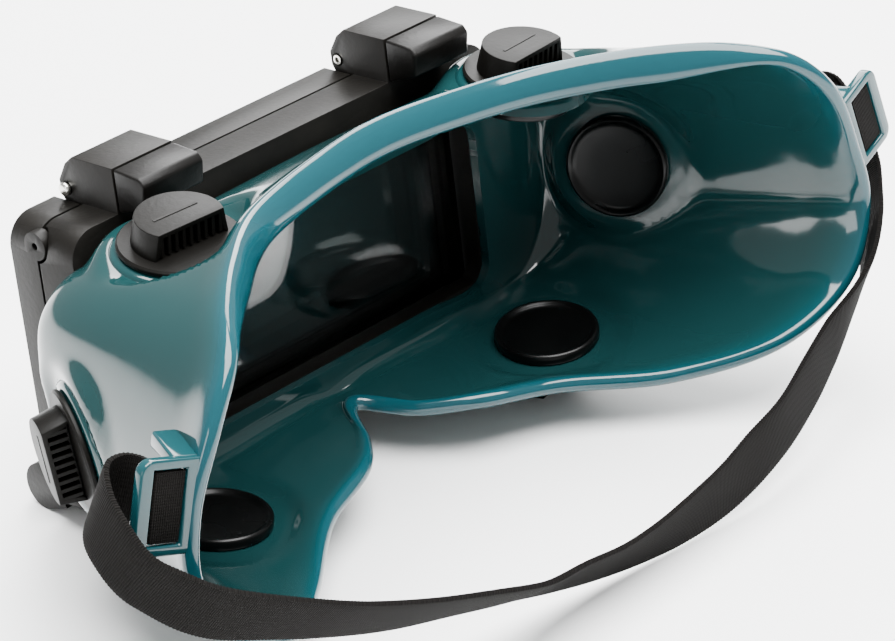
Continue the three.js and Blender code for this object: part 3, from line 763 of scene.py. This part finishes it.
def make_mask():
    bm = mask_skin()
    for _, place in every_vent():
        pad = boss_ring()
        # painted highlight on each vent pad
        paint_glow(pad, 0.25)
        join_shape(bm, pad, place)
    for _, side in SIDES:
        for moulding in (strap_loop(side), strap_loop_gusset(side)):
            # painted light-through glow on the strap loops
            paint_glow(moulding, 0.7)
            join_shape(bm, moulding, tab_place(side))
    finish_piece("soft_mask", bm, VINYL, "mask", ["goggle_body"], crease=50)


# ------------------------------------------------------------------ housing, lift frame and hinges
def make_housing():
    softened_copy("lens_housing", "housing_shell", HOUSING_BLACK, "mask", 0.35)
    softened_copy("flip_frame", "lift_frame", HOUSING_BLACK, "flip_front", 0.35)
    for side_name, _ in SIDES:
        softened_copy(
            f"hinge_cap_{side_name}", f"rear_cap_{side_name}", CAP_BLACK, "mask", 0.5,
        )


def make_hinge_pin(side_name, side):
    """A bright pin with a domed head outside and a hollow end inside."""
    bm = bmesh.new()
    profile = [
        (0, 2), (0.55, 2), (0.55, 0.1), (0.65, 0), (1.0, 0), (1.1, 0.1), (1.1, 16.65), (1.45, 16.65),
        (1.45, 17.1), (1.3, 17.38), (0.95, 17.56), (0.5, 17.64), (0, 17.65),
    ]
    lathe(bm, profile, 40)
    outward = Matrix.Rotation(side * math.pi / 2, 4, "Y")
    place = Matrix.Translation((side * PIN_INNER_END, PIN_Y, PIN_Z)) @ outward
    finish_piece(
        f"domed_pin_{side_name}", bm, PIN_STEEL, "mask", [f"hinge_pin_{side_name}"],
        RESTING @ place,
    )


def dress_inner_pieces():
    dress_node("cover_lens", CLEAR_PLATE)
    dress_node("clear_lens", CLEAR_PLATE)
    dress_node("shade_lens", SHADE_PLATE)
    dress_node("shade_lens_clip", HOUSING_BLACK)
    dress_node("clear_lens_clip", HOUSING_BLACK)
    dress_node("lens_gasket", SOFT_GASKET)
    for side_name, _ in SIDES:
        dress_node(f"detent_plunger_{side_name}", PIN_STEEL)
        dress_node(f"hinge_spring_{side_name}", SPRING_STEEL)


# ------------------------------------------------------------------ head strap
# The strap's lower edge from the left loop round behind to the right loop, then the direction across the
# webbing from that edge.
STRAP_ROUTE = [
    (102.4, 79.2, 18.3, -0.35, -0.08, 1), (103, 74, 18.8, -0.35, 0, 1), (104.6, 71, 19.2, -0.3, 0.1, 1),
    (107.4, 69.8, 19, -0.25, 0.2, 1), (110.4, 72, 17.4, -0.2, 0.4, 1), (112, 76.8, 14.8, -0.17, 0.6, 1),
    (111.6, 81.6, 11.3, -0.15, 0.72, 1), (109, 85.6, 8, -0.25, 0.72, 1), (105, 89.2, 4.2, -0.3, 0.65, 1),
    (100, 91.6, 1, -0.3, 0.6, 1), (88, 94.5, -4, -0.2, 0.7, 1), (76, 97, -8.5, -0.2, 0.85, 1),
    (62, 98.5, -13.5, -0.3, 1, 1), (45, 98.5, -19, -0.35, 1.2, 1), (30, 98, -24, -0.3, 1.3, 1),
    (17, 98.4, -28, -0.2, 0.9, 1), (5, 99.6, -30.6, -0.1, 0.7, 1), (-7, 101.2, -32, 0, 0.45, 1),
    (-19, 102.8, -32.2, 0, 0.2, 1), (-31, 103.6, -31.2, 0.15, 0.05, 1), (-42, 103.4, -29, 0.2, -0.05, 1),
    (-54, 101.5, -26.5, 0.25, 0, 1), (-66, 98.5, -23, 0.3, 0, 1), (-77, 94.8, -19.3, 0.35, 0.1, 1),
    (-85.5, 92, -13.5, 0.4, 0.4, 1), (-93.9, 88.4, -8, 0.5, 0.65, 1), (-100.2, 82.6, -4, 0.3, 0.75, 1),
    (-103.5, 77.5, -1.5, 0.1, 0.85, 1), (-106.5, 73.5, 3, 0.07, 0.95, 1), (-108.5, 69.5, 8, 0.12, 0.95, 1),
    (-109, 66.5, 13, 0.17, 0.75, 1), (-107.5, 66, 17, 0.2, 0.45, 1), (-105, 68.5, 18.7, 0.3, 0.15, 1),
    (-103, 73.5, 18.8, 0.35, 0, 1), (-102.4, 79.2, 18.3, 0.35, -0.08, 1),
]
STRAP_TWIST = [Vector(row[3:]).normalized() for row in STRAP_ROUTE]
STRAP_LINE = [Vector(row[:3]) + twist * STRAP_WIDTH / 2 for row, twist in zip(STRAP_ROUTE, STRAP_TWIST)]


def strap_samples(spacing):
    """Places along the strap at even spacing: (distance, centre, across, face normal)."""
    fine = []
    travelled = 0.0
    steps_per_station = 40
    for step in range((len(STRAP_LINE) - 1) * steps_per_station + 1):
        u = step / steps_per_station
        centre = on_open_line(STRAP_LINE, u)
        if fine:
            travelled += (centre - fine[-1][1]).length
        fine.append((travelled, centre, on_open_line(STRAP_TWIST, u).normalized()))
    count = round(travelled / spacing)
    samples = []
    nearest = 0
    for index in range(count + 1):
        distance = travelled * index / count
        while nearest < len(fine) - 2 and fine[nearest + 1][0] < distance:
            nearest += 1
        low, high = fine[nearest], fine[nearest + 1]
        share = (distance - low[0]) / max(high[0] - low[0], 1e-6)
        forward = (high[1] - low[1]).normalized()
        across = low[2].lerp(high[2], share).normalized()
        centre = low[1].lerp(high[1], share)
        samples.append((distance, centre, across, across.cross(forward).normalized()))
    return samples


# The webbing's section, as (across, through) shares of its width and thickness.
WEBBING_SECTION = [
    (-0.5, 0), (-0.49, -0.4), (-0.4, -0.5), (-0.2, -0.5), (0, -0.5), (0.2, -0.5), (0.4, -0.5), (0.49, -0.4),
    (0.5, 0), (0.49, 0.4), (0.4, 0.5), (0.2, 0.5), (0, 0.5), (-0.2, 0.5), (-0.4, 0.5), (-0.49, 0.4),
]


def make_strap():
    samples = strap_samples(RIB_PITCH / 2)
    rings = len(samples) - 1
    around = len(WEBBING_SECTION)
    bm = bmesh.new()
    bmesh.ops.create_grid(bm, x_segments=rings, y_segments=around, size=0.5)
    weave = bm.loops.layers.uv.new("weave")
    for face in bm.faces:
        for loop in face.loops:
            along = samples[round((loop.vert.co.x + 0.5) * rings)][0]
            spot = round((loop.vert.co.y + 0.5) * around)
            loop[weave].uv = (along, spot * 2 * STRAP_WIDTH / around)
    for vert in bm.verts:
        index = round((vert.co.x + 0.5) * rings)
        _, centre, across, normal = samples[index]
        share, depth = WEBBING_SECTION[round((vert.co.y + 0.5) * around) % around]
        width = STRAP_WIDTH - (RIB_NOTCH if index % 2 else 0)
        vert.co = centre + across * share * width + normal * depth * STRAP_THICKNESS
    bmesh.ops.remove_doubles(bm, verts=bm.verts, dist=0.0005)
    ends = [e for e in bm.edges if e.is_boundary]
    bmesh.ops.holes_fill(bm, edges=ends)
    bmesh.ops.recalc_face_normals(bm, faces=bm.faces)
    strap = finish_piece("head_strap", bm, WEBBING, "mask", ["strap"], LYING, 60)
    folds = [make_strap_fold(side_name, side) for side_name, side in SIDES]


def make_strap_fold(side_name, side):
    """The strap's folded and stitched end, filling the loop's slot."""
    bm = bmesh.new()
    centre = side * (TAB_WIDTH / 2 - TAB_BAR - SLOT_WIDTH / 2)
    for layer, (low, high) in enumerate(((-1.6, -0.45), (-0.4, 0.75))):
        leaf = bmesh.new()
        add_block(leaf, (centre - 3.45, centre + 3.45 - 0.3 * layer), (low, high), (-6.7, 6.7))
        soften_edges(leaf, 0.3, 2, 40)
        join_shape(bm, leaf, Matrix.Identity(4))
    weave = bm.loops.layers.uv.new("weave")
    for face in bm.faces:
        for loop in face.loops:
            loop[weave].uv = (loop.vert.co.x + loop.vert.co.y, loop.vert.co.z)
    return finish_piece(
        f"strap_fold_{side_name}", bm, WEBBING, "mask", [f"strap_end_{side_name}"],
        RESTING @ tab_place(side),
    )


# ------------------------------------------------------------------ the scene
make_camera()
light_the_table()
make_table()
make_mask()
for vent_name, vent_matrix in every_vent():
    make_vent_hood(vent_name, vent_matrix)
    make_vent_dish(vent_name, vent_matrix)
make_housing()
for pin_side_name, pin_side in SIDES:
    make_hinge_pin(pin_side_name, pin_side)
dress_inner_pieces()
make_strap()
